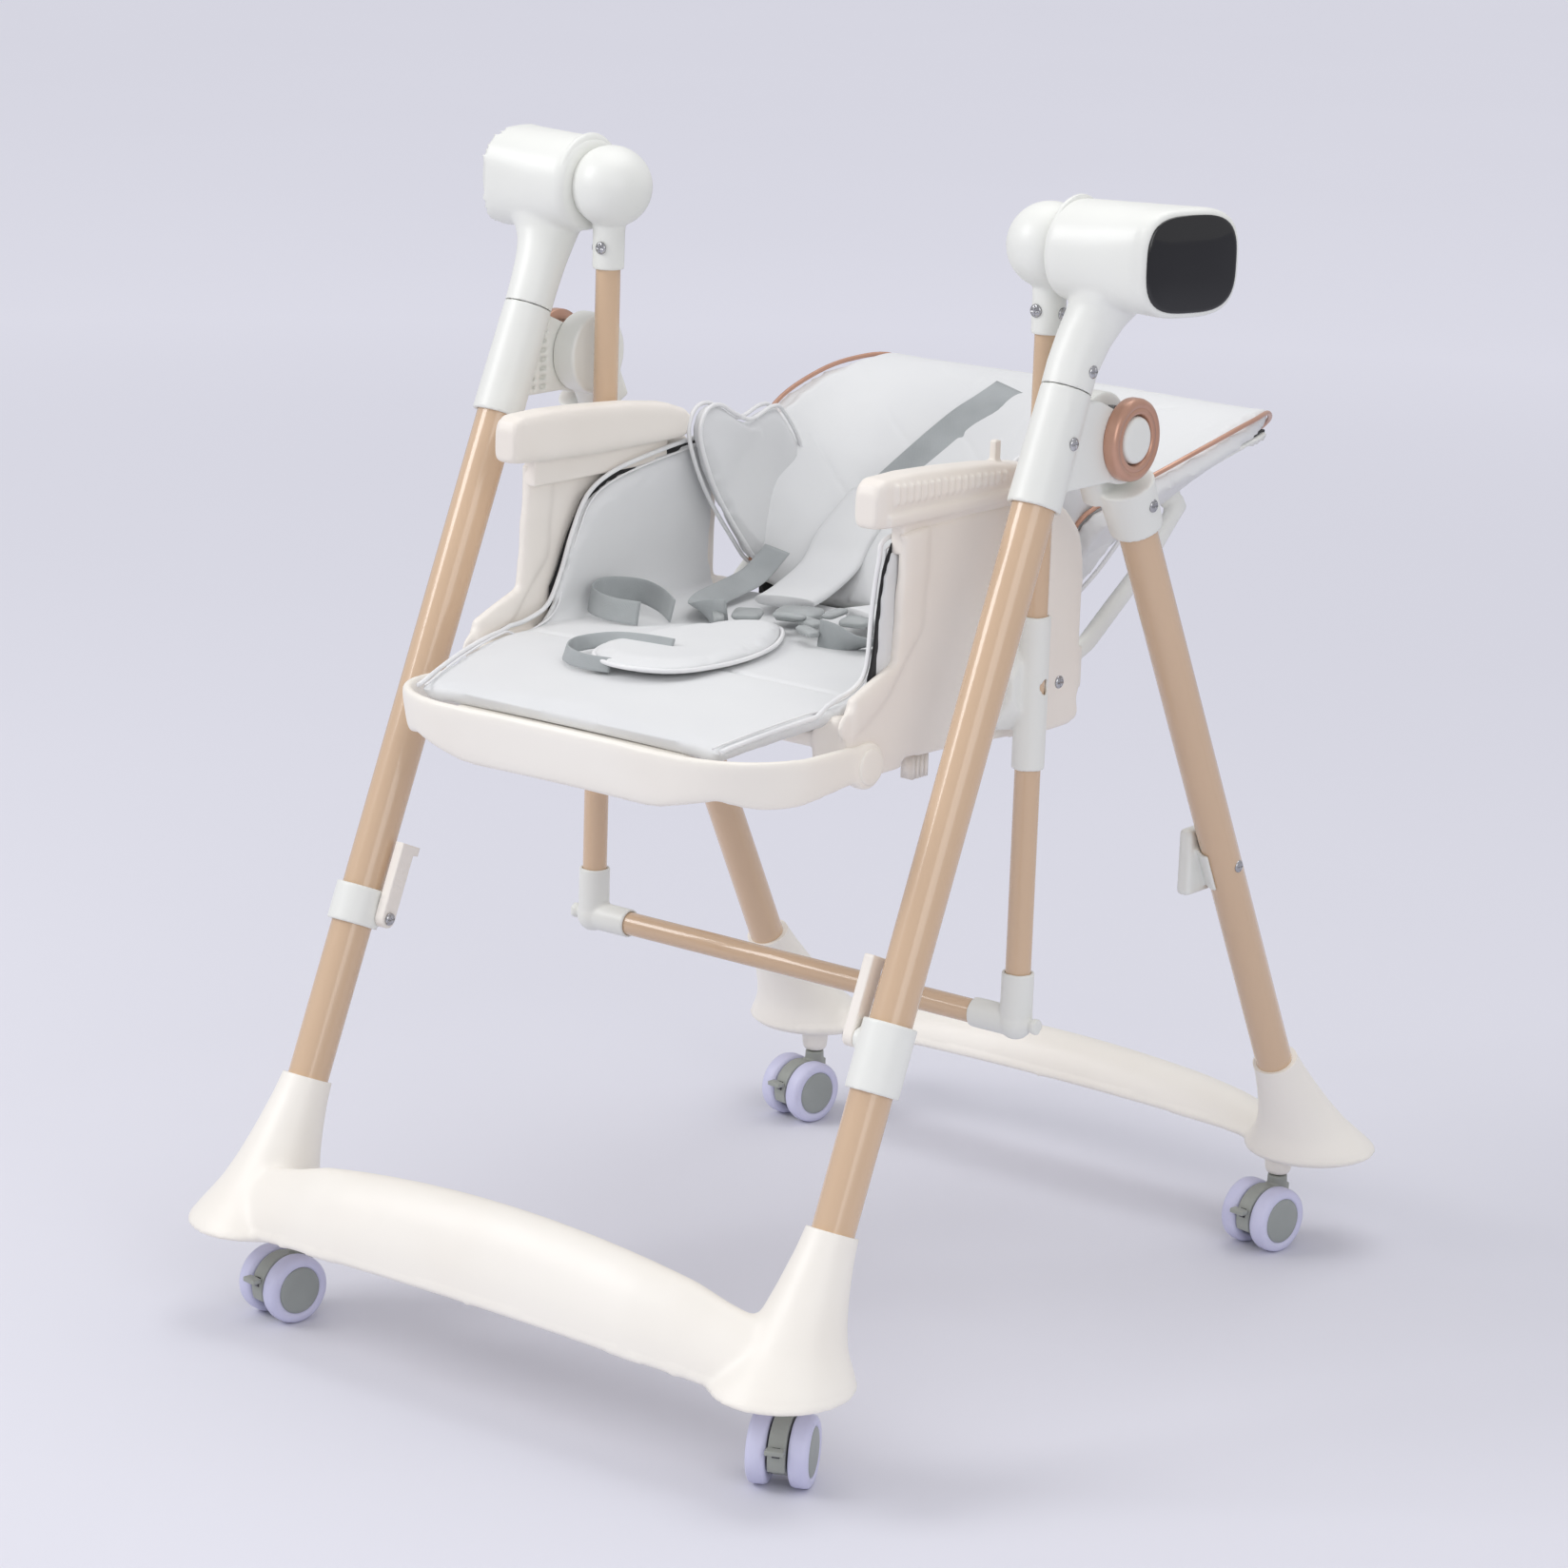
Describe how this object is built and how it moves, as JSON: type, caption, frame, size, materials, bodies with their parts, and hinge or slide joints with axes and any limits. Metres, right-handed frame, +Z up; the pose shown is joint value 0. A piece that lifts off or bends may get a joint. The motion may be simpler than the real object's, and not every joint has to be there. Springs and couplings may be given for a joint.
{
  "type": "baby high chair",
  "caption": "Folding baby high chair with a motor swing frame, reclining padded seat, footrest and braked twin-wheel casters.",
  "frame": {"origin": "on the floor, middle of the footprint", "axes": "+Z up, chair faces -Y, X across, symmetric about X = 0"},
  "size_m": [0.774, 0.916, 1.008],
  "materials": {
    "cream_shell": "satin cream moulded plastic",
    "head_white": "satin cool white moulded plastic",
    "champagne_tube": "glossy champagne paint on steel tube",
    "rose_gold": "satin rose gold",
    "panel_black": "gloss black, bare",
    "board_green": "circuit board",
    "steel": "plain steel",
    "screw_chrome": "bright screw heads",
    "pale_leather": "pale grey-white synthetic leather",
    "grey_webbing": "satin grey webbing",
    "buckle_grey": "satin grey plastic",
    "tyre_lilac": "pale lilac polyurethane",
    "caster_grey": "grey plastic"
  },
  "bodies": {
    "front_frame": {"front_base": "cream_shell", "front_legs": "champagne_tube", "upper_sleeve_left": "head_white", "upper_sleeve_right": "head_white", "head_housing_left": "head_white", "head_housing_right": "head_white", "head_inner_covers": "head_white", "control_panel": "panel_black", "head_end_cap": "head_white", "control_board": "board_green", "swing_motor": "steel", "pivot_bearings": "steel", "hub_rings": "rose_gold", "lock_gears": "steel", "fold_pins": "steel", "leg_collar_left": "cream_shell", "leg_collar_right": "cream_shell", "front_screws": "screw_chrome"},
    "rear_frame": {"rear_base": "cream_shell", "rear_legs": "champagne_tube", "rear_knuckles": "head_white", "leg_bracket": "cream_shell", "rear_screws": "screw_chrome"},
    "swing_frame": {"pivot_ball_left": "head_white", "pivot_ball_right": "head_white", "swing_rods": "champagne_tube", "tee_joints": "head_white", "swing_crossbar": "champagne_tube", "swing_axles": "steel", "swing_screws": "screw_chrome"},
    "seat": {"seat_shell": "cream_shell", "armrest_left": "cream_shell", "armrest_right": "cream_shell", "height_clamps": "head_white", "seat_cushion": "pale_leather", "recline_pin": "steel", "footrest_pins": "steel", "waist_straps": "grey_webbing", "buckle": "buckle_grey", "crotch_pad": "pale_leather"},
    "backrest": {"backrest_shell": "head_white", "backrest_pad": "pale_leather"},
    "footrest": {"footrest_band": "cream_shell", "calf_pad": "pale_leather"},
    "fold_button_left": {"fold_button_left": "head_white"},
    "fold_button_right": {"fold_button_right": "head_white"},
    "storage_hook_left": {"storage_hook_left": "cream_shell"},
    "storage_hook_right": {"storage_hook_right": "cream_shell"},
    "caster_front_left": {"caster_housing_front_left": "caster_grey"},
    "wheels_front_left": {"caster_wheels_front_left": "tyre_lilac"},
    "brake_front_left": {"caster_brake_front_left": "caster_grey"},
    "caster_front_right": {"caster_housing_front_right": "caster_grey"},
    "wheels_front_right": {"caster_wheels_front_right": "tyre_lilac"},
    "brake_front_right": {"caster_brake_front_right": "caster_grey"},
    "caster_rear_left": {"caster_housing_rear_left": "caster_grey"},
    "wheels_rear_left": {"caster_wheels_rear_left": "tyre_lilac"},
    "brake_rear_left": {"caster_brake_rear_left": "caster_grey"},
    "caster_rear_right": {"caster_housing_rear_right": "caster_grey"},
    "wheels_rear_right": {"caster_wheels_rear_right": "tyre_lilac"},
    "brake_rear_right": {"caster_brake_rear_right": "caster_grey"}
  },
  "joints": [
    {"name": "frame_fold", "type": "hinge", "parent": "front_frame", "child": "rear_frame", "pos_m": [0, 0.004, 0.806], "axis": [-1, 0, 0], "range_deg": [0, 36]},
    {"name": "swing", "type": "hinge", "parent": "front_frame", "child": "swing_frame", "pos_m": [0, -0.014, 0.959], "axis": [1, 0, 0], "range_deg": [-12, 12]},
    {"name": "seat_height", "type": "slide", "parent": "swing_frame", "child": "seat", "axis": [0, 0, 1], "range_m": [-0.12, 0.06]},
    {"name": "recline", "type": "hinge", "parent": "seat", "child": "backrest", "pos_m": [0, 0.11, 0.58], "axis": [1, 0, 0], "range_deg": [0, 35]},
    {"name": "footrest_tilt", "type": "hinge", "parent": "seat", "child": "footrest", "pos_m": [0, -0.202, 0.548], "axis": [1, 0, 0], "range_deg": [0, 80]},
    {"name": "fold_button_left_press", "type": "slide", "parent": "front_frame", "child": "fold_button_left", "axis": [1, 0, 0], "range_m": [0, 0.004], "stiffness_N_per_m": 600},
    {"name": "storage_hook_left_turn", "type": "hinge", "parent": "front_frame", "child": "storage_hook_left", "pos_m": [-0.2585, -0.2693, 0.34], "axis": [1, 0, 0], "range_deg": [0, 95]},
    {"name": "fold_button_right_press", "type": "slide", "parent": "front_frame", "child": "fold_button_right", "axis": [-1, 0, 0], "range_m": [0, 0.004], "stiffness_N_per_m": 600},
    {"name": "storage_hook_right_turn", "type": "hinge", "parent": "front_frame", "child": "storage_hook_right", "pos_m": [0.2585, -0.27949, 0.349], "axis": [1, 0, 0], "range_deg": [0, 95]},
    {"name": "caster_front_left_swivel", "type": "hinge", "parent": "front_frame", "child": "caster_front_left", "pos_m": [-0.27, -0.362, 0.09], "axis": [0, 0, 1], "continuous": true},
    {"name": "caster_front_left_roll", "type": "hinge", "parent": "caster_front_left", "child": "wheels_front_left", "pos_m": [-0.27313, -0.37973, 0.03], "axis": [0.9848, -0.1736, 0], "continuous": true},
    {"name": "caster_front_left_brake", "type": "hinge", "parent": "caster_front_left", "child": "brake_front_left", "pos_m": [-0.27608, -0.39647, 0.035], "axis": [0.9848, -0.1736, 0], "range_deg": [0, 14]},
    {"name": "caster_front_right_swivel", "type": "hinge", "parent": "front_frame", "child": "caster_front_right", "pos_m": [0.27, -0.362, 0.09], "axis": [0, 0, 1], "continuous": true},
    {"name": "caster_front_right_roll", "type": "hinge", "parent": "caster_front_right", "child": "wheels_front_right", "pos_m": [0.27761, -0.37831, 0.03], "axis": [0.9063, 0.4226, 0], "continuous": true},
    {"name": "caster_front_right_brake", "type": "hinge", "parent": "caster_front_right", "child": "brake_front_right", "pos_m": [0.28479, -0.39372, 0.035], "axis": [0.9063, 0.4226, 0], "range_deg": [0, 14]},
    {"name": "caster_rear_left_swivel", "type": "hinge", "parent": "rear_frame", "child": "caster_rear_left", "pos_m": [-0.27, 0.376, 0.09], "axis": [0, 0, 1], "continuous": true},
    {"name": "caster_rear_left_roll", "type": "hinge", "parent": "caster_rear_left", "child": "wheels_rear_left", "pos_m": [-0.27313, 0.35827, 0.03], "axis": [0.9848, -0.1736, 0], "continuous": true},
    {"name": "caster_rear_left_brake", "type": "hinge", "parent": "caster_rear_left", "child": "brake_rear_left", "pos_m": [-0.27608, 0.34153, 0.035], "axis": [0.9848, -0.1736, 0], "range_deg": [0, 14]},
    {"name": "caster_rear_right_swivel", "type": "hinge", "parent": "rear_frame", "child": "caster_rear_right", "pos_m": [0.27, 0.376, 0.09], "axis": [0, 0, 1], "continuous": true},
    {"name": "caster_rear_right_roll", "type": "hinge", "parent": "caster_rear_right", "child": "wheels_rear_right", "pos_m": [0.26687, 0.35827, 0.03], "axis": [0.9848, -0.1736, 0], "continuous": true},
    {"name": "caster_rear_right_brake", "type": "hinge", "parent": "caster_rear_right", "child": "brake_rear_right", "pos_m": [0.26392, 0.34153, 0.035], "axis": [0.9848, -0.1736, 0], "range_deg": [0, 14]}
  ]
}
